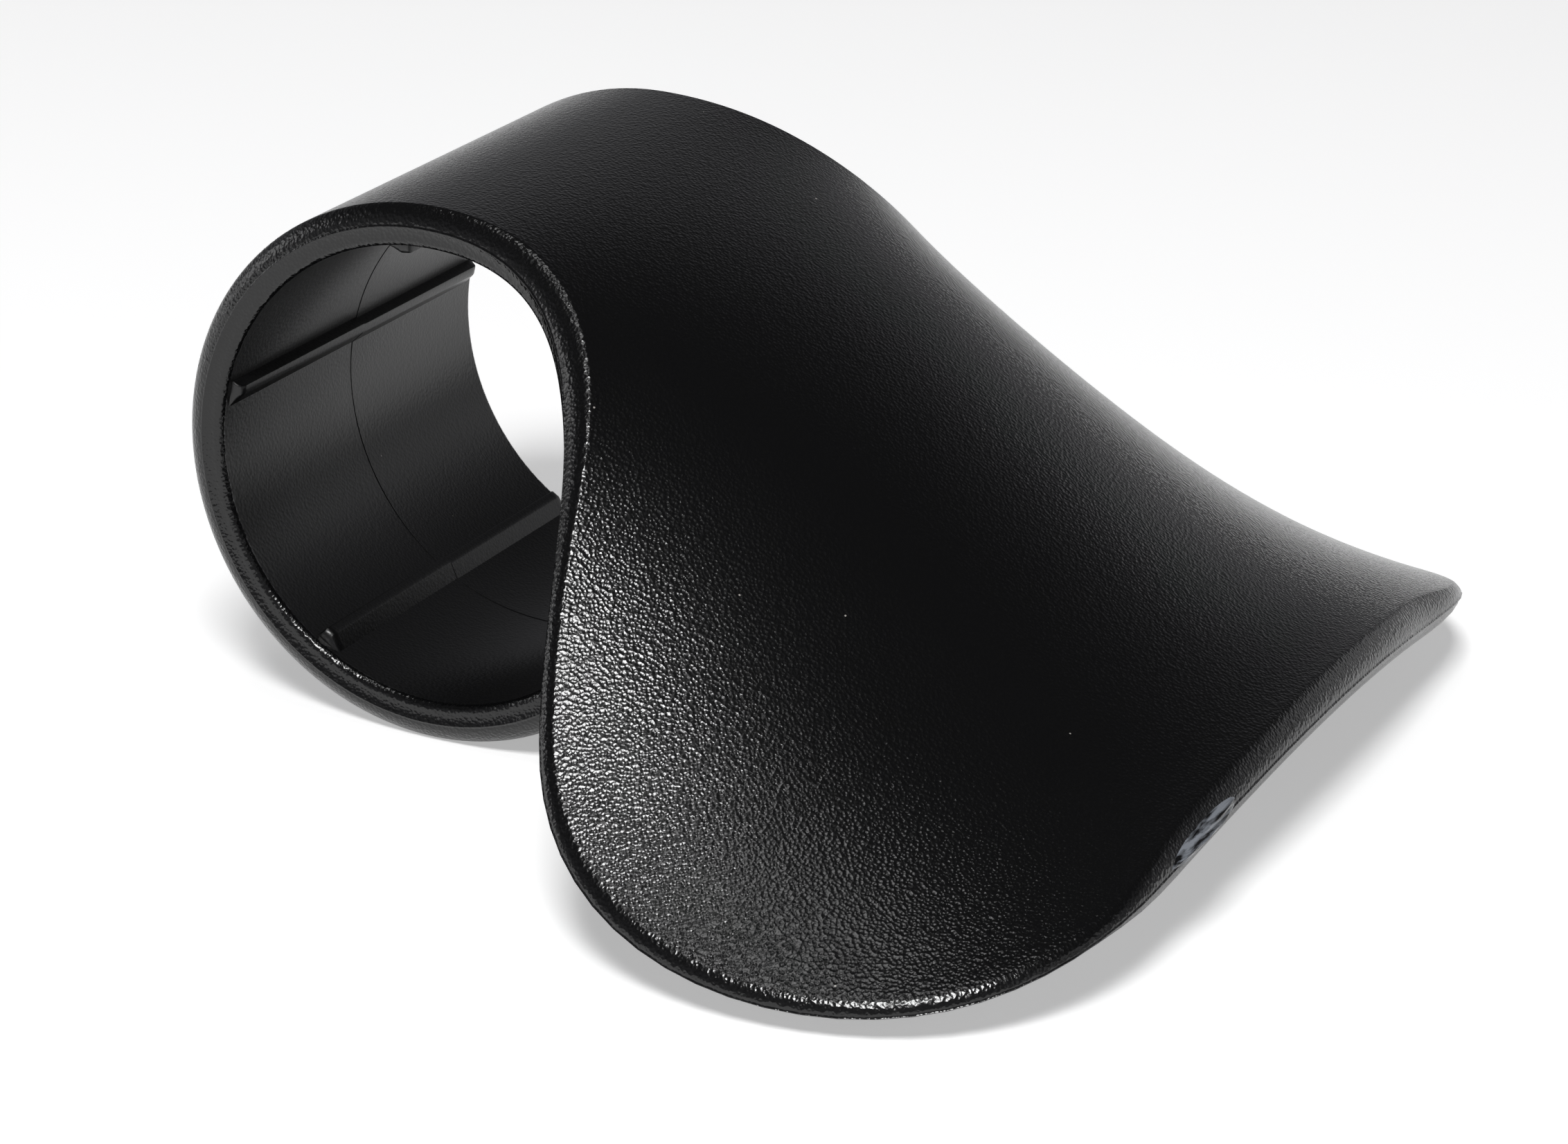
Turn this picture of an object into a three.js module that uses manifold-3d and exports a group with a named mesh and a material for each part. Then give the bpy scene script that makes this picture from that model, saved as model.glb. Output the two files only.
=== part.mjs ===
// Throttle assist: a springy open ring that clips round a handlebar grip, and a flared,
// saddle-shaped paddle that the palm rests on. It is one moulded piece of black plastic.
//
// Millimetres. The ring's axis lies along Y, the paddle reaches towards +X and +Z is up. The
// piece stands on z = 0, on the ring's underside and the paddle's two front corners, with the
// origin under the middle of its box.

import * as THREE from 'three';
import { mergeVertices } from 'three/addons/utils/BufferGeometryUtils.js';
import Module from 'manifold-3d';

// ---- Driving dimensions: the ring. Angles turn from +X towards +Z, in degrees. ----

const boreRadius = 16.5;      // takes a grip of 32 to 33 mm
const wall = 2.9;             // thickness of the ring and of the paddle
const ringWidth = 35;         // along the axis
const freeEndAngle = 330;     // where the open ring ends, under the paddle
const leaveAngle = 90;        // where the paddle leaves the ring

// ---- The gripping ribs in the bore ----

const ribAngles = [98, 168, 238, 308];
const ribHeight = 0.8;
const ribCrest = 0.8;         // width of the crest
const ribSteepFoot = 0.2;     // how far the steep flank spreads at its foot
const ribSlopedFoot = 1.1;    // how far the sloped flank spreads at its foot
const ribInset = 1;           // from the ring's faces to the ribs' ends
const ribRoot = 0.5;          // how deep a rib is rooted in the wall

// ---- The paddle's middle line, seen from the side. Heights are above the ring's underside. ----

const frontReach = 60.3;      // the front edge's middle, in front of the ring's axis
const frontHeight = 9.4;
const frontSlope = 0;         // direction of the line where it ends
const leavePull = 22.4;       // how long the line keeps the ring's tangent
const frontPull = 13;         // how long it keeps the front's direction

// ---- The line of the two wings, which the round corners cut short ----

const wingReach = 55.5;
const wingHeight = -7.3;
const wingSlope = -5.4;
const wingLeavePull = 28.9;
const wingPull = 52.2;
const wingCurl = 0.18;        // 0 is an even curve across the paddle, 1 bends only near the wings

// ---- The paddle's outline, as half-widths and shares of its length ----

const widthNearFront = 48.7;  // last handle of the half-width's curve
const widthAtFront = 58;      // where the half-width would end without round corners
const frontBow = 0.04;        // how far the front edge falls back at the wings
const cornerDepth = 0.386;    // rounding of the corners, along the paddle
const cornerStart = 0.465;    // where it starts, as a share of the half-width

// ---- Facets ----

const ringStations = 34;
const paddleStations = 22;
const columns = 22;

const middleRadius = boreRadius + wall / 2;
const outerRadius = boreRadius + wall;

function direction(angle) {
  return new THREE.Vector2(1, 0).rotateAround(new THREE.Vector2(), THREE.MathUtils.degToRad(angle));
}

// A side line of the paddle, from the ring's tangent to an end point and direction.
function sideLine(reach, height, slope, startPull, endPull) {
  const start = direction(leaveAngle).multiplyScalar(middleRadius);
  const end = new THREE.Vector2(reach, height - outerRadius);
  return new THREE.CubicBezierCurve(
    start,
    start.clone().add(direction(leaveAngle - 90).multiplyScalar(startPull)),
    end.clone().sub(direction(slope).multiplyScalar(endPull)),
    end,
  );
}

const middleLine = sideLine(frontReach, frontHeight, frontSlope, leavePull, frontPull);
const wingLine = sideLine(wingReach, wingHeight, wingSlope, wingLeavePull, wingPull);
const widthLine = new THREE.CubicBezierCurve(
  new THREE.Vector2(0, ringWidth / 2),
  new THREE.Vector2(0, ringWidth / 2),
  new THREE.Vector2(0, widthNearFront),
  new THREE.Vector2(0, widthAtFront),
);

// Middle surface of the ring. side runs from -1 to 1 across it.
function ringPoint(angle, side) {
  const at = direction(angle).multiplyScalar(middleRadius);
  return new THREE.Vector3(at.x, side * ringWidth / 2, at.y);
}

// Middle surface of the paddle. along runs from 0 at the ring to 1 at the front.
function paddlePoint(along, side) {
  const share = (1 - wingCurl) * side ** 2 + wingCurl * side ** 4;
  const at = middleLine.getPoint(along).lerp(wingLine.getPoint(along), share);
  return new THREE.Vector3(at.x, side * widthLine.getPoint(along).y, at.y);
}

// How far along the paddle its edge lies, with the bowed front and the round corners.
function paddleEnd(side) {
  const past = Math.max(0, (Math.abs(side) - cornerStart) / (1 - cornerStart));
  return 1 - frontBow * side ** 2 - cornerDepth * (1 - Math.sqrt(1 - past ** 2));
}

function paddleNormal(along, side) {
  const step = 1e-4;
  const lengthwise = paddlePoint(along + step, side).sub(paddlePoint(along - step, side));
  const crosswise = paddlePoint(along, side + step).sub(paddlePoint(along, side - step));
  return lengthwise.cross(crosswise).normalize();
}

// One row of middle points and outward normals for each station, from the free end to the front.
function bandRows() {
  const sides = Array.from({ length: columns + 1 }, (_, j) => Math.sin((j / columns - 0.5) * Math.PI));
  const rows = [];
  for (let i = 0; i <= ringStations; i++) {
    const angle = freeEndAngle + (leaveAngle - freeEndAngle) * i / ringStations;
    const out = direction(angle);
    rows.push(sides.map((side) => ({
      point: ringPoint(angle, side),
      normal: new THREE.Vector3(out.x, 0, out.y),
    })));
  }
  for (let i = 1; i <= paddleStations; i++) {
    rows.push(sides.map((side) => {
      const along = paddleEnd(side) * i / paddleStations;
      return { point: paddlePoint(along, side), normal: paddleNormal(along, side) };
    }));
  }
  return rows;
}

// The band as a closed skin: an outer and an inner sheet half a wall from the middle, joined
// by a strip all round.
function bandGeometry() {
  const rows = bandRows();
  const perRow = columns + 1;
  const sheet = rows.length * perRow;
  const positions = [];
  for (const offset of [wall / 2, -wall / 2]) {
    for (const row of rows) {
      for (const { point, normal } of row) {
        positions.push(...point.clone().addScaledVector(normal, offset).toArray());
      }
    }
  }
  const indices = [];
  const quad = (a, b, c, d) => indices.push(a, b, c, a, c, d);
  for (let i = 0; i < rows.length - 1; i++) {
    for (let j = 0; j < columns; j++) {
      const a = i * perRow + j;
      quad(a, a + perRow, a + perRow + 1, a + 1);
      quad(sheet + a, sheet + a + 1, sheet + a + perRow + 1, sheet + a + perRow);
    }
    const right = i * perRow;
    const left = right + columns;
    quad(right, sheet + right, sheet + right + perRow, right + perRow);
    quad(left, left + perRow, sheet + left + perRow, sheet + left);
  }
  const front = (rows.length - 1) * perRow;
  for (let j = 0; j < columns; j++) {
    quad(j, j + 1, sheet + j + 1, sheet + j);
    quad(front + j, sheet + front + j, sheet + front + j + 1, front + j + 1);
  }
  const geometry = new THREE.BufferGeometry();
  geometry.setAttribute('position', new THREE.Float32BufferAttribute(positions, 3));
  geometry.setIndex(indices);
  return geometry;
}

// A rib along the bore, steep on one flank and sloped on the other, at angle 0 before turning.
function ribGeometry(angle) {
  const crest = boreRadius - ribHeight;
  const root = boreRadius + ribRoot;
  const section = new THREE.Shape([
    new THREE.Vector2(crest, -ribCrest / 2),
    new THREE.Vector2(root, -ribCrest / 2 - ribSteepFoot),
    new THREE.Vector2(root, ribCrest / 2 + ribSlopedFoot),
    new THREE.Vector2(crest, ribCrest / 2),
  ]);
  const length = ringWidth - 2 * ribInset;
  const geometry = new THREE.ExtrudeGeometry(section, { depth: length, bevelEnabled: false });
  geometry.translate(0, 0, -length / 2);
  geometry.rotateX(Math.PI / 2);
  geometry.rotateY(-THREE.MathUtils.degToRad(angle));
  return geometry;
}

const wasm = await Module();
wasm.setup();

function toSolid(geometry) {
  const bare = geometry.clone();
  bare.deleteAttribute('normal');
  bare.deleteAttribute('uv');
  const merged = mergeVertices(bare, 1e-4);
  return new wasm.Manifold(new wasm.Mesh({
    numProp: 3,
    vertProperties: new Float32Array(merged.attributes.position.array),
    triVerts: new Uint32Array(merged.index.array),
  }));
}

function toGeometry(solid) {
  const mesh = solid.getMesh();
  const geometry = new THREE.BufferGeometry();
  geometry.setAttribute('position', new THREE.BufferAttribute(mesh.vertProperties, 3));
  geometry.setIndex(new THREE.BufferAttribute(mesh.triVerts, 1));
  return geometry;
}

function clipAndPaddle() {
  const ribs = ribAngles.map((angle) => toSolid(ribGeometry(angle)));
  const solid = ribs.reduce((body, rib) => body.add(rib), toSolid(bandGeometry()));
  const geometry = toGeometry(solid);
  geometry.computeBoundingBox();
  const box = geometry.boundingBox;
  geometry.translate(-(box.min.x + box.max.x) / 2, -(box.min.y + box.max.y) / 2, -box.min.z);
  geometry.computeVertexNormals();
  const plastic = new THREE.MeshStandardMaterial({ color: 0x141415, roughness: 0.48, metalness: 0 });
  const mesh = new THREE.Mesh(geometry, plastic);
  mesh.name = 'clip_and_paddle';
  return mesh;
}

const throttleAssist = new THREE.Group();
throttleAssist.add(clipAndPaddle());

export default throttleAssist;
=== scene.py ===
"""Visual model of a clip-on throttle assist: a sprung ring flowing into a flared palm paddle.

Metres, in the frame of the packed model: the ring's axis lies along Y, the paddle reaches
towards +X, and the piece stands on z = 0.
"""

import math

import bpy
import numpy as np
from bpy.props import FloatProperty, FloatVectorProperty, PointerProperty
from bpy.types import Operator, Panel, PropertyGroup
from mathutils import Matrix, Vector


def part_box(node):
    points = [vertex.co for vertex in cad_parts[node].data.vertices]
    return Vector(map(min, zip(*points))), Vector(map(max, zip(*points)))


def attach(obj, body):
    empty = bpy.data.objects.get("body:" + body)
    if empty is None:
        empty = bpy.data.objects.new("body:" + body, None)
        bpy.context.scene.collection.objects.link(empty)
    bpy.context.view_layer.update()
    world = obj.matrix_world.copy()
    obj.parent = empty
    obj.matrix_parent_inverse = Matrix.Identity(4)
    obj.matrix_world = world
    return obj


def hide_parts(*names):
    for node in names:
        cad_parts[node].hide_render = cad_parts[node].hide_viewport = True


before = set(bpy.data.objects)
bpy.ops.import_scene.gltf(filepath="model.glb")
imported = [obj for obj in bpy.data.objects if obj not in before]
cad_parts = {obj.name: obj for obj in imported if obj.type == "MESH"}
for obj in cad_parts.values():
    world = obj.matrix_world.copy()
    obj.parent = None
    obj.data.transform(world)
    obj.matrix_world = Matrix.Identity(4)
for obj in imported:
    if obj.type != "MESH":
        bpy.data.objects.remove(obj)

bl_info = {
    "name": "Throttle assist",
    "version": (1, 0, 0),
    "blender": (4, 5, 0),
    "location": "3D View > Sidebar > Throttle Assist",
    "description": "Builds a throttle assist's band, grip ribs and mould marks, and its studio",
    "category": "Object",
}

CAD_NODE = "clip_and_paddle"
BODY = "root"
PLASTIC = "grained_black_plastic"
MM = 0.001

# Steps of the meshes, along and across the band and round its edge.
RING_ROWS = 110
PADDLE_ROWS = 90
COLUMNS = 72
SHOULDER_STEPS = 14
LIP_STEPS = 8

# How the edge changes along the band, in rows (0 to 2) and columns (-1 to 1).
PADDLE_BLEND = 0.4
CORNER_ROW = 1.45
CORNER_ROW_BLEND = 0.4
CORNER_COLUMN = 0.35
CORNER_COLUMN_BLEND = 0.25
WIDEST_BLEND = 0.3

# Depth of the grain on the outside, inside the ring, on the underside's edge and on small pieces.
FULL_GRAIN = 1.0
INNER_GRAIN = 0.25
LIP_GRAIN = 0.35
SMALL_PIECE_GRAIN = 0.2

# Angles of the gripping ribs round the bore, in degrees, and how deep small pieces are rooted.
RIB_ANGLES = (98, 168, 238, 308)
RIB_ROOT = 0.4 * MM
SEAM_ROOT = 0.3 * MM

# The gate scar's middle, above the band's middle surface and behind its edge.
GATE_RISE = 0.05 * MM
GATE_SUNK = 0.45 * MM

# Smooth shading stops where faces meet at more than this, in degrees.
BAND_CREASE = 60
SMALL_CREASE = 35
SCAR_CREASE = 25

# The camera's place, from the ring's axis, and the width of its sensor.
CAMERA_FROM_AXIS = (0.15947, -0.28692, 0.11659)
SENSOR_MM = 36

# The softboxes: name, place, what it faces, width, height and watts.
SOFTBOXES = (
    ("key_softbox", (0.155, -0.45, 0.66), (0, -0.02, 0.02), 0.21, 0.2, 5.0),
    ("top_softbox", (-0.11, -0.09, 0.9), (0, -0.02, 0.02), 0.22, 0.22, 0.7),
    ("left_softbox", (-1.0, -0.27, 0.22), (0, 0, 0.02), 0.3, 0.34, 0.6),
    ("right_softbox", (1.1, -0.1, 0.5), (0, 0, 0), 0.8, 0.5, 0.6),
    ("back_softbox", (0.55, 1.4, 0.36), (0, 0, 0.02), 0.9, 0.36, 0.4),
)
FLOOR_SIDE = 8.0
FLOOR_DROP = 0.05 * MM


def length(name, description, default):
    """A length property in metres."""
    return FloatProperty(
        name=name, description=description, default=default, unit="LENGTH", precision=5
    )


def angle(name, description, degrees):
    """An angle property, given in degrees."""
    return FloatProperty(
        name=name, description=description, default=math.radians(degrees), subtype="ANGLE"
    )


def factor(name, description, default):
    """A plain number between 0 and 1."""
    return FloatProperty(
        name=name, description=description, default=default, min=0, max=1, subtype="FACTOR"
    )


def colour(name, description, default):
    """A linear colour."""
    return FloatVectorProperty(
        name=name, description=description, default=default, min=0, max=1, subtype="COLOR"
    )


# ---- Sizes and finishes that can be set ----


class BandSizes(PropertyGroup):
    """The ring and the paddle, one band of even thickness."""

    bore_radius: length("Bore radius", "Inside radius of the ring", 0.0165)
    wall: length("Wall", "Thickness of the ring and the paddle", 0.0029)
    ring_width: length("Ring width", "Width of the ring along its axis", 0.035)
    free_end: angle("Free end", "Where the open ring ends, from +X towards +Z", 330)
    leave: angle("Leaving line", "Where the paddle leaves the ring", 90)

    front_reach: length("Front reach", "Front edge's middle, in front of the axis", 0.0603)
    front_height: length("Front height", "Front edge's middle, above the underside", 0.0094)
    front_slope: angle("Front slope", "Direction of the middle line at the front", 0)
    leave_pull: length("Leaving pull", "How long the middle line keeps the tangent", 0.0224)
    front_pull: length("Front pull", "How long it keeps the front's direction", 0.013)

    wing_reach: length("Wing reach", "End of the wings' line, in front of the axis", 0.0555)
    wing_height: length("Wing height", "End of the wings' line, above the underside", -0.0073)
    wing_slope: angle("Wing slope", "Direction of the wings' line at its end", -5.4)
    wing_leave_pull: length("Wing leaving pull", "How long it keeps the tangent", 0.0289)
    wing_pull: length("Wing pull", "How long it keeps its last direction", 0.0522)
    wing_curl: factor("Wing curl", "0 bends evenly across, 1 only near the wings", 0.18)

    width_near_front: length("Width near front", "Last handle of the half-width", 0.0487)
    width_at_front: length("Width at front", "Half-width without round corners", 0.058)
    front_bow: factor("Front bow", "How far the front edge falls back at the wings", 0.04)
    corner_depth: factor("Corner depth", "Rounding of the corners along the paddle", 0.386)
    corner_start: factor("Corner start", "Where the rounding starts, across the paddle", 0.465)


class RimSizes(PropertyGroup):
    """The moulded edge that runs all round the band."""

    shoulder: length("Shoulder", "Depth of the ring's outer rounding", 1.0 * MM)
    paddle_shoulder: length("Paddle shoulder", "Depth of the paddle's outer rounding", 1.4 * MM)
    corner_shoulder: length("Corner shoulder", "The same at the round corners", 0.6 * MM)
    corner_reach: length("Corner reach", "How far the seam stands out there", 0.7 * MM)
    lip: length("Lip", "Height and depth of the inner rounding", 0.6 * MM)
    corner_lip: length("Corner lip", "Depth of the slanted underside at the corners", 2.3 * MM)
    corner_rise: length("Corner rise", "How much higher the seam lies at the corners", 1.15 * MM)
    seam_height: length("Seam height", "Mould seam above the wall's middle", 0.1 * MM)
    seam_drop: length("Seam drop", "How much lower the seam lies on the paddle", 0.35 * MM)
    seam_flash: length("Seam flash", "How far the seam stands out", 0.08 * MM)
    seam_step: length("Seam step", "How far the inner half is set back", 0.06 * MM)


class RibSizes(PropertyGroup):
    """The gripping ribs along the bore."""

    height: length("Rib height", "Above the bore", 0.8 * MM)
    crest: length("Crest width", "Width of a rib's top", 0.8 * MM)
    steep_foot: length("Steep foot", "Spread of the steep flank", 0.2 * MM)
    sloped_foot: length("Sloped foot", "Spread of the sloped flank", 1.1 * MM)
    inset: length("Rib inset", "From the ring's faces to the ribs' ends", 1.0 * MM)
    mismatch: length("Mismatch", "Shift between the two halves of a rib", 0.1 * MM)


class MarkSizes(PropertyGroup):
    """What the mould left: the trimmed gate and the seam round the bore."""

    gate_place: length("Gate place", "Along the front edge, from its middle", -21 * MM)
    gate_length: length("Gate length", "Along the front edge", 10.5 * MM)
    gate_height: length("Gate height", "Across the front edge", 1.3 * MM)
    gate_proud: length("Gate depth", "Half the scar's thickness", 0.95 * MM)
    bore_seam_width: length("Bore seam width", "Width of the line round the bore", 0.16 * MM)
    bore_seam_height: length("Bore seam height", "Height of the line", 0.04 * MM)


class PlasticFinish(PropertyGroup):
    """The black plastic."""

    tint: colour("Plastic", "Colour of the plastic", (0.0025, 0.0025, 0.0027))
    dust: colour("Dust", "Colour of the dust specks", (0.32, 0.3, 0.28))
    stressed: colour("Stressed plastic", "Where the gate was torn off", (0.2, 0.215, 0.24))
    roughness: factor("Roughness", "Satin finish of the plastic", 0.2)
    grain_size: length("Grain size", "Spacing of the spark-eroded grain", 0.25 * MM)
    grain_depth: length("Grain depth", "Depth of the grain", 0.036 * MM)


class StudioSettings(PropertyGroup):
    """Camera, floor and lights."""

    azimuth: angle("Azimuth", "Camera heading, from +Y", -26.07)
    elevation: angle("Elevation", "Camera above the horizon", 21.44)
    roll: angle("Roll", "Camera tilt", 1.65)
    lens: FloatProperty(name="Lens", description="Focal length", default=111.7, unit="CAMERA")
    floor: colour("Floor", "Colour of the floor", (0.86, 0.86, 0.86))
    floor_glow: factor("Floor glow", "Light that the floor gives out itself", 0.4)
    horizon: colour("Horizon", "Light from low all round", (0.28, 0.28, 0.285))
    backdrop: colour("Backdrop", "Light from a little higher", (0.2, 0.2, 0.21))
    surround: colour("Surround", "Dim light from high all round", (0.05, 0.05, 0.052))


# ---- The band's shape ----


def cubic(handles, along):
    """Cubic Bezier curve: the handles weighted by Bernstein's four polynomials of along."""
    a, b, c, d = (np.asarray(h, float) for h in handles)
    t = np.asarray(along)[..., None] if a.ndim else np.asarray(along)
    return (1 - t) ** 3 * a + 3 * (1 - t) ** 2 * t * b + 3 * (1 - t) * t * t * c + t**3 * d


def eased(share):
    """Smoothstep: 0 below 0, 1 above 1, and 3 x^2 - 2 x^3 between."""
    share = np.clip(share, 0, 1)
    return share**2 * (3 - 2 * share)


def bearing(turn):
    """Unit vector (x, z) at an angle from +X towards +Z."""
    return np.stack([np.cos(turn), np.sin(turn)], -1)


def middle_radius(sizes):
    """Radius of the ring's middle surface."""
    return sizes.bore_radius + sizes.wall / 2


def outer_radius(sizes):
    """Outside radius of the ring."""
    return sizes.bore_radius + sizes.wall


def side_line(sizes, reach, height, slope, start_pull, end_pull):
    """Handles of a side view line, from the ring's tangent to an end point and direction."""
    start = middle_radius(sizes) * bearing(sizes.leave)
    end = np.array([reach, height - outer_radius(sizes)])
    tangent = bearing(sizes.leave - math.pi / 2)
    return [start, start + start_pull * tangent, end - end_pull * bearing(slope), end]


def half_width(sizes, along):
    """Half the paddle's width: a cubic that leaves the ring's width with no kink."""
    start = sizes.ring_width / 2
    return cubic([start, start, sizes.width_near_front, sizes.width_at_front], along)


def paddle_point(sizes, along, side):
    """Middle surface of the paddle: the middle line and the wings' line, mixed by a share that
    grows with side squared and side to the fourth, and spread sideways by the half-width."""
    inner = side_line(
        sizes,
        sizes.front_reach,
        sizes.front_height,
        sizes.front_slope,
        sizes.leave_pull,
        sizes.front_pull,
    )
    outer = side_line(
        sizes,
        sizes.wing_reach,
        sizes.wing_height,
        sizes.wing_slope,
        sizes.wing_leave_pull,
        sizes.wing_pull,
    )
    share = ((1 - sizes.wing_curl) * side**2 + sizes.wing_curl * side**4)[..., None]
    line = cubic(inner, along) * (1 - share) + cubic(outer, along) * share
    return np.stack([line[..., 0], side * half_width(sizes, along), line[..., 1]], -1)


def middle_surface(sizes, at, side):
    """Points and outward unit normals of the band's middle surface, from the ring's axis.
    at runs from 0 to 1 round the ring, as an arc, and from 1 to 2 along the paddle."""
    turn = sizes.free_end + (sizes.leave - sizes.free_end) * np.minimum(at, 1)
    out = bearing(turn)
    radius = middle_radius(sizes)
    y = side * sizes.ring_width / 2
    ring = np.stack([radius * out[..., 0], y, radius * out[..., 1]], -1)
    ring_normal = np.stack([out[..., 0], 0 * turn, out[..., 1]], -1)

    along = np.maximum(at - 1, 0)
    paddle = paddle_point(sizes, along, side)
    step = 1e-4
    ahead, behind = along + step, along - step
    lengthwise = paddle_point(sizes, ahead, side) - paddle_point(sizes, behind, side)
    left, right = side + step, side - step
    crosswise = paddle_point(sizes, along, left) - paddle_point(sizes, along, right)
    paddle_normal = np.cross(lengthwise, crosswise)
    paddle_normal /= np.linalg.norm(paddle_normal, axis=-1, keepdims=True)

    on_ring = (at <= 1)[..., None]
    points = np.where(on_ring, ring, paddle)
    return points, np.where(on_ring, ring_normal, paddle_normal)


def offset_surface(sizes, at, side, height):
    """Points at a height above the middle surface."""
    points, normals = middle_surface(sizes, at, side)
    return points + np.asarray(height)[..., None] * normals


def paddle_end(sizes, side):
    """How far along the paddle its edge lies: a shallow parabola, less a quarter ellipse
    that rounds each corner."""
    past = np.clip((np.abs(side) - sizes.corner_start) / (1 - sizes.corner_start), 0, 1)
    return 1 - sizes.front_bow * side**2 - sizes.corner_depth * (1 - np.sqrt(1 - past**2))


def place(sizes, row, column, inset):
    """Grid coordinates to surface coordinates, with the outline drawn in by inset. row runs
    from 0 to 2 like at, and column from -1 to 1 across."""
    arc = (sizes.free_end - sizes.leave) * middle_radius(sizes)
    ring_at = inset / arc + (1 - inset / arc) * row
    end = paddle_end(sizes, column)
    step = 1e-3
    ahead = paddle_point(sizes, end + step, column) - paddle_point(sizes, end - step, column)
    speed = np.linalg.norm(ahead, axis=-1) / (2 * step)
    paddle_at = 1 + (row - 1) * (end - inset / speed)
    at = np.where(row <= 1, ring_at, paddle_at)
    side = column * (1 - inset / half_width(sizes, np.maximum(at - 1, 0)))
    return at, side


def ring_axis(sizes):
    """The ring's axis in the model's frame: it touches the box's low X side and z = 0."""
    low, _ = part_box(CAD_NODE)
    return np.array([low.x + outer_radius(sizes), 0, low.z + outer_radius(sizes)])


def paddle_share(row):
    """0 on the ring and 1 on the paddle, with a smooth change over the paddle's first part."""
    return eased((row - 1) / PADDLE_BLEND)


def corner_share(row, column):
    """1 at the paddle's round corners and 0 along the rest of its sides and its front."""
    across = eased((np.abs(column) - CORNER_COLUMN) / CORNER_COLUMN_BLEND)
    return across * eased((row - CORNER_ROW) / CORNER_ROW_BLEND)


def corner_reach(rim, row, column):
    """How far the edge stands out at the round corners, less where the paddle is widest."""
    widest = eased((1 - np.abs(column)) / WIDEST_BLEND)
    return rim.corner_reach * corner_share(row, column) * widest


def shoulder_depth(rim, row, column):
    """Depth of the outer rounding: broad along the paddle's sides, tight at its corners."""
    depth = rim.shoulder + (rim.paddle_shoulder - rim.shoulder) * paddle_share(row)
    return depth + (rim.corner_shoulder - depth) * corner_share(row, column)


def lip_depth(rim, row, column):
    """Depth of the inner rounding, which is a broad slant at the corners."""
    return rim.lip + (rim.corner_lip - rim.lip) * corner_share(row, column)


def rim_section(sizes, rim, row, column):
    """Sections of the edge, one for each row and column, as insets and heights from the outer
    sheet to the inner one: a quarter superellipse of power 1.5, the seam's thin flash, a
    set-back flat and a quarter ellipse, which is nearly a straight slant at the corners."""
    half = sizes.wall / 2
    corner = corner_share(row, column)
    seam = rim.seam_height - rim.seam_drop * paddle_share(row) + rim.corner_rise * corner

    turn = np.linspace(math.pi / 2, 0, SHOULDER_STEPS + 1)[:-1, None]
    power = 2 / 1.5
    upper_inset = shoulder_depth(rim, row, column) * (1 - np.cos(turn) ** power)
    upper_height = seam + (half - seam) * np.sin(turn) ** power

    flash = rim.seam_flash * np.array([[0, 0], [-1, -0.6], [-1, -1.5], [0, -3.1]])
    flash[3, 0] = rim.seam_step

    turn = np.linspace(0, math.pi / 2, LIP_STEPS + 1)[:, None]
    below_flash = half + seam - 0.3 * MM
    lip_height = rim.lip + (below_flash - rim.lip) * corner
    power = 1 + 0.9 * corner
    lower_inset = rim.seam_step + lip_depth(rim, row, column) * (1 - np.cos(turn) ** power)
    lower_height = lip_height * (1 - np.sin(turn) ** power) - half

    inset = np.concatenate([upper_inset, flash[:, :1] + 0 * row, lower_inset])
    height = np.concatenate([upper_height, flash[:, 1:] + seam, lower_height])
    return inset - corner_reach(rim, row, column), height


def edge_loop(rows, columns):
    """Row and column indices of a grid's border, once round."""
    r, c = np.arange(rows), np.arange(columns)
    row = np.concatenate([0 * c, r[1:], 0 * c[1:] + rows - 1, r[-2:0:-1]])
    column = np.concatenate([c, 0 * r[1:] + columns - 1, c[-2::-1], 0 * r[-2:0:-1]])
    return row, column


def quads(grid):
    """Faces between neighbours of a grid of vertex numbers."""
    return np.stack(
        [grid[:-1, :-1], grid[1:, :-1], grid[1:, 1:], grid[:-1, 1:]], -1
    ).reshape(-1, 4)


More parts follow.
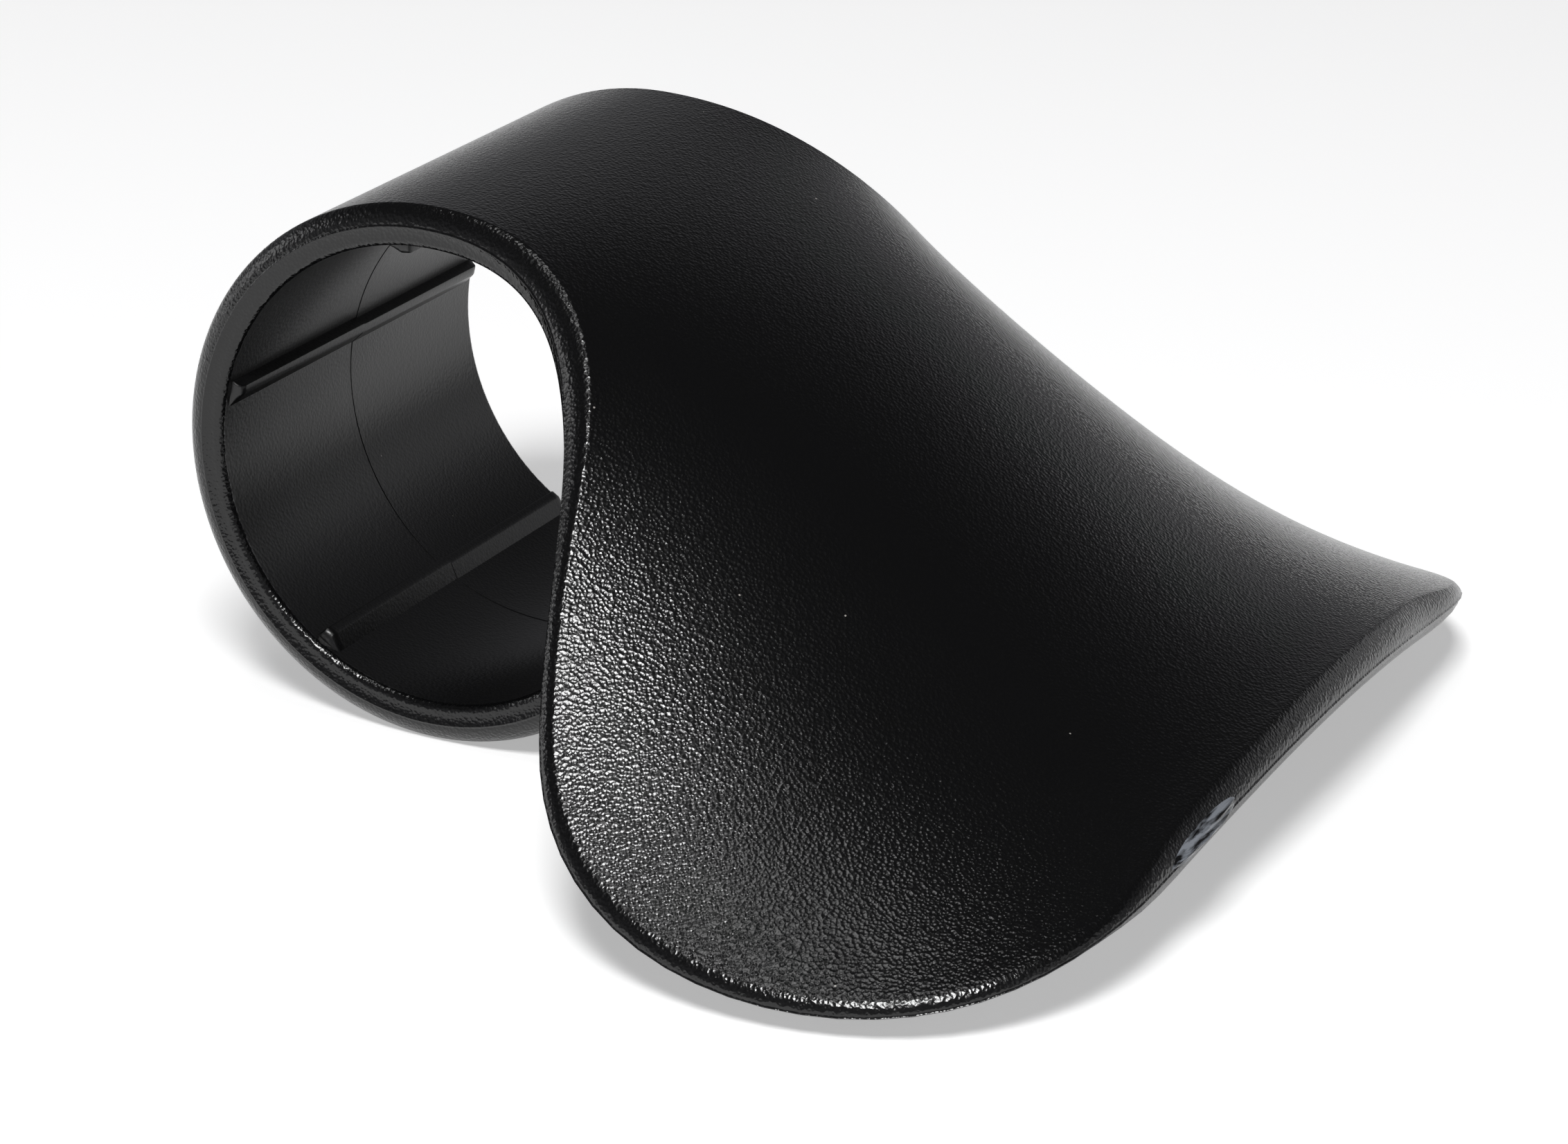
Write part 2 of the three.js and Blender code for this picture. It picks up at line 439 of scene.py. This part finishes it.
def band_mesh(sizes, rim):
    """Vertices, faces and grain of the band: an outer and an inner sheet half a wall either
    side of the middle surface, and the rim's section carried once round their borders."""
    ring_row = np.linspace(0, 1, RING_ROWS + 1)
    row = np.concatenate([ring_row, 1 + np.linspace(0, 1, PADDLE_ROWS + 1)[1:]])
    column = np.sin(np.linspace(-math.pi / 2, math.pi / 2, COLUMNS + 1))
    rows, columns = np.meshgrid(row, column, indexing="ij")
    reach = corner_reach(rim, rows, columns)
    outer_inset = shoulder_depth(rim, rows, columns) - reach
    inner_inset = rim.seam_step + lip_depth(rim, rows, columns) - reach
    outer_sheet = offset_surface(sizes, *place(sizes, rows, columns, outer_inset), sizes.wall / 2)
    inner_sheet = offset_surface(sizes, *place(sizes, rows, columns, inner_inset), -sizes.wall / 2)
    count = rows.size
    outer = np.arange(count).reshape(rows.shape)
    inner = outer + count

    loop_row, loop_column = edge_loop(*rows.shape)
    inset, height = rim_section(sizes, rim, row[loop_row], column[loop_column])
    inset, height = inset[1:-1], height[1:-1]
    at, side = place(sizes, row[loop_row][None], column[loop_column][None], inset)
    edge = offset_surface(sizes, at, side, height)
    between = 2 * count + np.arange(at.size).reshape(at.shape)
    strip = np.concatenate(
        [outer[loop_row, loop_column][None], between, inner[loop_row, loop_column][None]]
    )
    strip = np.concatenate([strip, strip[:, :1]], 1)

    vertices = np.concatenate([part.reshape(-1, 3) for part in (outer_sheet, inner_sheet, edge)])
    faces = np.concatenate([quads(outer), quads(inner)[:, ::-1], quads(strip)[:, ::-1]])
    near_ring = at < 1.3
    above_seam = height > -0.6 * MM
    edge_grain = np.where(above_seam | near_ring, FULL_GRAIN, LIP_GRAIN)
    grain = np.concatenate(
        [np.full(count, FULL_GRAIN), np.full(count, INNER_GRAIN), edge_grain.ravel()]
    )
    return vertices + ring_axis(sizes), faces.tolist(), grain


# ---- Small closed shapes ----


def closed_tube(sections):
    """Vertices and faces of a profile carried along a path. sections has one closed profile
    for each step, and each end is closed with a fan about its centre."""
    steps, count, _ = sections.shape
    numbers = np.arange(steps * count).reshape(steps, count)
    numbers = np.concatenate([numbers, numbers[:, :1]], 1)
    walls = quads(numbers)
    first, last = steps * count, steps * count + 1
    ends = np.stack([sections[0].mean(0), sections[-1].mean(0)])
    around, after = numbers[0, :-1], numbers[0, 1:]
    start_cap = np.stack([after, around, 0 * around + first], -1)
    around, after = numbers[-1, :-1], numbers[-1, 1:]
    end_cap = np.stack([around, after, 0 * around + last], -1)
    vertices = np.concatenate([sections.reshape(-1, 3), ends])
    return vertices, walls.tolist() + start_cap.tolist() + end_cap.tolist()


def joined(shapes):
    """Several (vertices, faces) shapes as one."""
    vertices, faces, first = [], [], 0
    for points, polygons in shapes:
        vertices.append(points)
        faces += [[first + v for v in polygon] for polygon in polygons]
        first += len(points)
    return np.concatenate(vertices), faces


def half_rib(sizes, rib, turn, sign):
    """One half of a rib, from the ring's middle to sign times its end. The section has a steep
    and a sloped flank under a crest with eased corners, and sinks to nothing at the end."""
    ease = 0.15 * rib.crest
    top = rib.height
    shift = rib.mismatch * (sign > 0)
    root = -RIB_ROOT
    profile = np.array(
        [
            [-rib.crest / 2 - rib.steep_foot, root],
            [-rib.crest / 2 - rib.steep_foot, 0],
            [-rib.crest / 2, top - ease],
            [-rib.crest / 2 + 0.3 * ease, top - 0.3 * ease],
            [-rib.crest / 2 + ease, top],
            [rib.crest / 2 - ease, top],
            [rib.crest / 2, top - 0.5 * ease],
            [rib.crest / 2 + rib.sloped_foot, 0],
            [rib.crest / 2 + rib.sloped_foot, root],
        ]
    )
    end = sizes.ring_width / 2 - rib.inset
    steps = np.linspace(0, 1, 24)
    y = sign * end * (1 - (1 - steps) ** 2)
    rounding = 0.5 * MM
    fade = np.clip((end - np.abs(y)) / rounding, 0, 1)
    fade = 0.05 + 0.95 * np.sqrt(1 - (1 - fade) ** 2)
    height = np.minimum(profile[:, 1], profile[:, 1] * fade[:, None]) - 0.35 * shift
    out = bearing(turn)
    tangent = bearing(turn + math.pi / 2)
    along = profile[:, 0] + shift
    line = (sizes.bore_radius - height)[..., None] * out + along[None, :, None] * tangent
    across = np.broadcast_to(y[:, None], height.shape)
    sections = np.stack([line[..., 0], across, line[..., 1]], -1)
    return closed_tube(sections if sign > 0 else sections[::-1])


def bore_seam(sizes, marks):
    """The thin raised line round the middle of the bore: a low triangle carried along an arc."""
    turn = np.linspace(sizes.free_end - 0.03, sizes.leave - 0.1, 160)
    half = marks.bore_seam_width / 2
    profile = np.array(
        [
            [-half, -SEAM_ROOT],
            [half, -SEAM_ROOT],
            [half, 0],
            [0, marks.bore_seam_height],
            [-half, 0],
        ]
    )
    out = bearing(turn)
    radius = (sizes.bore_radius - profile[:, 1])[None, :]
    y = np.broadcast_to(profile[:, 0], (turn.size, len(profile)))
    sections = np.stack([radius * out[:, :1], y, radius * out[:, 1:]], -1)
    return closed_tube(sections)


def gate_scar(sizes, marks):
    """The trimmed gate on the front edge: a lens along the edge, whose ellipse of a section is
    bent into seven facets by a triangle wave, turning a little from end to end."""
    along = np.sin(np.linspace(-math.pi / 2, math.pi / 2, 49))[:, None]
    turn = np.linspace(0, 2 * math.pi, 33)[None, :-1]
    y = marks.gate_place + along * marks.gate_length / 2
    half = half_width(sizes, np.ones(1))[0]
    end = paddle_end(sizes, y / half)
    edge, normal = middle_surface(sizes, 1 + end, y / half)
    out = np.cross(np.array([0, 1.0, 0]), normal)
    taper = np.sqrt(1 - along**2) ** 0.8
    facets = 7 / (2 * math.pi)
    wave = np.abs(((0.5 * along + facets * turn) % 1) - 0.5)
    depth = marks.gate_proud * taper * np.cos(turn) * (0.85 + 0.4 * wave)
    height = marks.gate_height / 2 * taper * np.sin(turn) + GATE_RISE
    sections = edge + (depth - GATE_SUNK)[..., None] * out + height[..., None] * normal
    return closed_tube(sections)


# ---- Making objects ----


def add_piece(name, vertices, faces, material, smooth_angle, grain=None):
    """A mesh object at the origin, with its place in its mesh and a grain attribute. Faces
    that meet at more than smooth_angle, in degrees, keep a sharp edge."""
    mesh = bpy.data.meshes.new(name)
    mesh.from_pydata(vertices.tolist(), [], faces)
    mesh.validate()
    attribute = mesh.attributes.new("grain", "FLOAT", "POINT")
    values = np.full(len(mesh.vertices), SMALL_PIECE_GRAIN) if grain is None else grain
    attribute.data.foreach_set("value", np.asarray(values, np.float32))
    mesh.polygons.foreach_set("use_smooth", np.ones(len(mesh.polygons), bool))
    mesh.set_sharp_from_angle(angle=math.radians(smooth_angle))
    mesh.materials.append(material)
    mesh.update()
    piece = bpy.data.objects.new(name, mesh)
    bpy.context.scene.collection.objects.link(piece)
    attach(piece, BODY)
    return piece


def node(tree, kind, location, **inputs):
    """A shader node with some of its inputs set."""
    made = tree.nodes.new(kind)
    made.location = location
    for key, value in inputs.items():
        made.inputs[key.replace("_", " ")].default_value = value
    return made


def math_node(tree, operation, location, *inputs):
    """A Math node. Each input is a number or a socket."""
    made = tree.nodes.new("ShaderNodeMath")
    made.operation = operation
    made.location = location
    for socket, value in zip(made.inputs, inputs):
        if isinstance(value, bpy.types.NodeSocket):
            tree.links.new(value, socket)
        else:
            socket.default_value = value
    return made.outputs[0]


def new_material(name):
    """An empty node material with its Principled shader, tree and object coordinates."""
    material = bpy.data.materials.new(name)
    material.use_nodes = True
    tree = material.node_tree
    shader = tree.nodes["Principled BSDF"]
    place_node = tree.nodes.new("ShaderNodeTexCoord")
    place_node.location = (-1500, 0)
    return material, tree, shader, place_node.outputs["Object"]


def grained_plastic(finish):
    """Black satin plastic: worm-like grain from a smooth Voronoi pattern, faint flow marks in
    the roughness, and a few specks of dust. The grain attribute sets how deep the grain is."""
    material, tree, shader, where = new_material(PLASTIC)
    link = tree.links.new

    density = 1 / finish.grain_size
    wobble = node(tree, "ShaderNodeTexNoise", (-1300, 200), Scale=density, Detail=1.0)
    link(where, wobble.inputs["Vector"])
    shifted = tree.nodes.new("ShaderNodeVectorMath")
    shifted.operation = "MULTIPLY_ADD"
    shifted.location = (-1120, 200)
    link(wobble.outputs["Color"], shifted.inputs[0])
    shifted.inputs[1].default_value = (0.45 * finish.grain_size,) * 3
    link(where, shifted.inputs[2])
    cells = node(tree, "ShaderNodeTexVoronoi", (-940, 200), Scale=density, Randomness=1.0)
    cells.feature = "SMOOTH_F1"
    cells.inputs["Smoothness"].default_value = 0.3
    link(shifted.outputs[0], cells.inputs["Vector"])
    fine = node(tree, "ShaderNodeTexNoise", (-940, -60), Scale=2.2 * density, Detail=2.0)
    link(where, fine.inputs["Vector"])

    depth = tree.nodes.new("ShaderNodeAttribute")
    depth.attribute_name = "grain"
    depth.location = (-940, -300)
    deep = depth.outputs["Fac"]
    height = math_node(tree, "MULTIPLY", (-740, 200), cells.outputs["Distance"], deep)
    relief = math_node(tree, "MULTIPLY_ADD", (-560, 100), fine.outputs["Fac"], 0.06, height)
    bump = node(tree, "ShaderNodeBump", (-380, -60), Strength=1.0, Distance=finish.grain_depth)
    link(relief, bump.inputs["Height"])
    link(bump.outputs["Normal"], shader.inputs["Normal"])

    flow = node(tree, "ShaderNodeTexNoise", (-940, 460), Scale=60.0, Detail=4.0, Distortion=0.6)
    link(where, flow.inputs["Vector"])
    dullest = finish.roughness + 0.1
    spread = math_node(tree, "MULTIPLY_ADD", (-560, 460), flow.outputs["Fac"], 0.08, dullest)
    smoother = math_node(tree, "MULTIPLY_ADD", (-380, 460), deep, -0.14, spread)
    link(smoother, shader.inputs["Roughness"])

    specks = node(tree, "ShaderNodeTexVoronoi", (-940, 720), Scale=230.0, Randomness=1.0)
    link(where, specks.inputs["Vector"])
    speck_size = 0.016
    speck = math_node(tree, "LESS_THAN", (-740, 720), specks.outputs["Distance"], speck_size)
    mix = tree.nodes.new("ShaderNodeMix")
    mix.data_type = "RGBA"
    mix.location = (-380, 720)
    link(speck, mix.inputs["Factor"])
    mix.inputs["A"].default_value = (*finish.tint, 1)
    mix.inputs["B"].default_value = (*finish.dust, 1)
    link(mix.outputs["Result"], shader.inputs["Base Color"])
    shader.inputs["IOR"].default_value = 1.5
    return material


def torn_plastic(finish):
    """Glossy plastic where the gate was cut off, with fine streaks from the cutter."""
    material, tree, shader, where = new_material("cut_plastic")
    link = tree.links.new
    turned = tree.nodes.new("ShaderNodeMapping")
    turned.location = (-1300, 0)
    turned.inputs["Rotation"].default_value = (0.15, 0, 0)
    turned.inputs["Scale"].default_value = (2600, 110, 3400)
    link(where, turned.inputs["Vector"])
    streaks = node(tree, "ShaderNodeTexNoise", (-1100, 0), Scale=1.0, Detail=3.0)
    link(turned.outputs["Vector"], streaks.inputs["Vector"])
    bump = node(tree, "ShaderNodeBump", (-500, 0), Strength=0.6, Distance=0.06 * MM)
    link(streaks.outputs["Fac"], bump.inputs["Height"])
    link(bump.outputs["Normal"], shader.inputs["Normal"])
    spread = math_node(tree, "MULTIPLY_ADD", (-500, 250), streaks.outputs["Fac"], 0.2, 0.08)
    link(spread, shader.inputs["Roughness"])
    ramp = tree.nodes.new("ShaderNodeValToRGB")
    ramp.location = (-500, 500)
    dark, pale = ramp.color_ramp.elements
    dark.position = 0.42
    dark.color = (*(2 * c for c in finish.tint), 1)
    pale.position = 0.62
    pale.color = (*finish.stressed, 1)
    link(streaks.outputs["Fac"], ramp.inputs["Fac"])
    link(ramp.outputs["Color"], shader.inputs["Base Color"])
    return material


def plastic(scene):
    """The plastic material, made once."""
    return bpy.data.materials.get(PLASTIC) or grained_plastic(scene.assist_finish)


class ASSIST_OT_band(Operator):
    """Builds the ring and the paddle in place of the CAD solid."""

    bl_idname = "assist.band"
    bl_label = "Ring and paddle"

    def execute(self, context):
        """Makes the band from its sizes and hides the plain CAD node."""
        scene = context.scene
        vertices, faces, grain = band_mesh(scene.assist_band, scene.assist_rim)
        piece = add_piece("band", vertices, faces, plastic(scene), BAND_CREASE, grain)
        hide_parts(CAD_NODE)
        return {"FINISHED"}


class ASSIST_OT_ribs(Operator):
    """Builds the ribs that grip, each in two slightly mismatched halves."""

    bl_idname = "assist.ribs"
    bl_label = "Grip ribs"

    def execute(self, context):
        """Makes every rib as one mesh."""
        scene = context.scene
        sizes, rib = scene.assist_band, scene.assist_ribs
        turns = np.radians(RIB_ANGLES)
        vertices, faces = joined([half_rib(sizes, rib, t, sign) for t in turns for sign in (-1, 1)])
        add_piece("grip_ribs", vertices + ring_axis(sizes), faces, plastic(scene), SMALL_CREASE)
        return {"FINISHED"}


class ASSIST_OT_marks(Operator):
    """Builds the marks of the mould: the bore's seam and the trimmed gate."""

    bl_idname = "assist.marks"
    bl_label = "Mould marks"

    def execute(self, context):
        """Makes the seam and the gate scar."""
        scene = context.scene
        sizes, marks = scene.assist_band, scene.assist_marks
        vertices, faces = bore_seam(sizes, marks)
        add_piece("bore_seam", vertices + ring_axis(sizes), faces, plastic(scene), SMALL_CREASE)
        vertices, faces = gate_scar(sizes, marks)
        torn = torn_plastic(scene.assist_finish)
        add_piece("gate_scar", vertices + ring_axis(sizes), faces, torn, SCAR_CREASE)
        return {"FINISHED"}


def add_camera(sizes, studio):
    """The camera. Heading, height and tilt turn its axes, and its place and lens frame the
    part."""
    heading, rise, roll = studio.azimuth, studio.elevation, studio.roll
    ahead = Vector(
        (
            math.sin(heading) * math.cos(rise),
            math.cos(heading) * math.cos(rise),
            -math.sin(rise),
        )
    )
    level = Vector((math.cos(heading), -math.sin(heading), 0))
    upright = level.cross(ahead)
    right = level * math.cos(roll) + upright * math.sin(roll)
    up = upright * math.cos(roll) - level * math.sin(roll)
    data = bpy.data.cameras.new("camera")
    data.lens = studio.lens
    data.sensor_width = SENSOR_MM
    data.clip_start, data.clip_end = 0.01, 20
    camera = bpy.data.objects.new("camera", data)
    bpy.context.scene.collection.objects.link(camera)
    turn = Matrix((right, up, -ahead)).transposed()
    stand = Vector(ring_axis(sizes)) + Vector(CAMERA_FROM_AXIS)
    camera.matrix_world = Matrix.Translation(stand) @ turn.to_4x4()
    bpy.context.scene.camera = camera


def add_softbox(name, place_at, aim, width, height, watts):
    """A rectangular area light at a place, facing a point."""
    data = bpy.data.lights.new(name, "AREA")
    data.shape = "RECTANGLE"
    data.size, data.size_y = width, height
    data.energy = watts
    light = bpy.data.objects.new(name, data)
    bpy.context.scene.collection.objects.link(light)
    light.location = place_at
    facing = Vector(aim) - Vector(place_at)
    light.rotation_euler = facing.to_track_quat("-Z", "Y").to_euler()


def add_floor(studio):
    """A wide plain floor, a little below the part's own standing plane."""
    half, z = FLOOR_SIDE / 2, -FLOOR_DROP
    mesh = bpy.data.meshes.new("floor")
    outline = [(-half, -half, z), (half, -half, z), (half, half, z), (-half, half, z)]
    mesh.from_pydata(outline, [], [(0, 1, 2, 3)])
    material = bpy.data.materials.new("floor_paper")
    material.use_nodes = True
    shader = material.node_tree.nodes["Principled BSDF"]
    shader.inputs["Base Color"].default_value = (*studio.floor, 1)
    shader.inputs["Roughness"].default_value = 0.9
    shader.inputs["Specular IOR Level"].default_value = 0.1
    shader.inputs["Emission Color"].default_value = (1, 1, 1, 1)
    shader.inputs["Emission Strength"].default_value = studio.floor_glow
    mesh.materials.append(material)
    floor = bpy.data.objects.new("floor", mesh)
    bpy.context.scene.collection.objects.link(floor)


def surrounding(studio):
    """The dim room round the stage: a soft gradient from the horizon's tone to the
    ceiling's, by the height of the direction looked in."""
    world = bpy.data.worlds.new("surround")
    world.use_nodes = True
    tree = world.node_tree
    background = tree.nodes["Background"]
    where = tree.nodes.new("ShaderNodeTexCoord")
    split = tree.nodes.new("ShaderNodeSeparateXYZ")
    tree.links.new(where.outputs["Generated"], split.inputs[0])
    ramp = tree.nodes.new("ShaderNodeValToRGB")
    tones = [(0.0, studio.horizon), (0.3, studio.backdrop), (0.65, studio.surround)]
    ramp.color_ramp.elements.new(0.5)
    for stop, (position, tone) in zip(ramp.color_ramp.elements, tones):
        stop.position = position
        stop.color = (*tone, 1)
    tree.links.new(split.outputs["Z"], ramp.inputs["Fac"])
    tree.links.new(ramp.outputs["Color"], background.inputs["Color"])
    return world


class ASSIST_OT_studio(Operator):
    """Sets up the camera, the pale floor and the soft lights."""

    bl_idname = "assist.studio"
    bl_label = "Studio"

    def execute(self, context):
        """Makes the stage round the finished object."""
        scene = context.scene
        studio = scene.assist_studio
        add_camera(scene.assist_band, studio)
        add_floor(studio)
        for softbox in SOFTBOXES:
            add_softbox(*softbox)
        scene.world = surrounding(studio)
        scene.view_settings.view_transform = "Standard"
        return {"FINISHED"}


class ASSIST_PT_panel(Panel):
    """The sidebar panel that lists the sizes and the building steps."""

    bl_idname = "ASSIST_PT_panel"
    bl_label = "Throttle assist"
    bl_space_type = "VIEW_3D"
    bl_region_type = "UI"
    bl_category = "Throttle Assist"

    def draw(self, context):
        """Each group of sizes, with the button that builds from it."""
        layout = self.layout
        for name, kind, operator in GROUPS:
            box = layout.box()
            box.label(text=kind.__doc__)
            settings = getattr(context.scene, name)
            for key in kind.__annotations__:
                box.prop(settings, key)
            if operator:
                box.operator(operator.bl_idname)


GROUPS = [
    ("assist_band", BandSizes, ASSIST_OT_band),
    ("assist_rim", RimSizes, None),
    ("assist_ribs", RibSizes, ASSIST_OT_ribs),
    ("assist_marks", MarkSizes, ASSIST_OT_marks),
    ("assist_finish", PlasticFinish, None),
    ("assist_studio", StudioSettings, ASSIST_OT_studio),
]
OPERATORS = [operator for _, _, operator in GROUPS if operator]


def register():
    """Registers every class and hangs the settings on the scene."""
    for name, kind, _ in GROUPS:
        bpy.utils.register_class(kind)
        setattr(bpy.types.Scene, name, PointerProperty(type=kind))
    for kind in [*OPERATORS, ASSIST_PT_panel]:
        bpy.utils.register_class(kind)


def unregister():
    """Takes away what register added, in the opposite order."""
    for kind in [ASSIST_PT_panel, *reversed(OPERATORS)]:
        bpy.utils.unregister_class(kind)
    for name, kind, _ in reversed(GROUPS):
        delattr(bpy.types.Scene, name)
        bpy.utils.unregister_class(kind)


def main():
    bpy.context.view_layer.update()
    register()
    bpy.ops.assist.band()
    bpy.ops.assist.ribs()
    bpy.ops.assist.marks()
    bpy.ops.assist.studio()


if __name__ == "__main__":
    main()
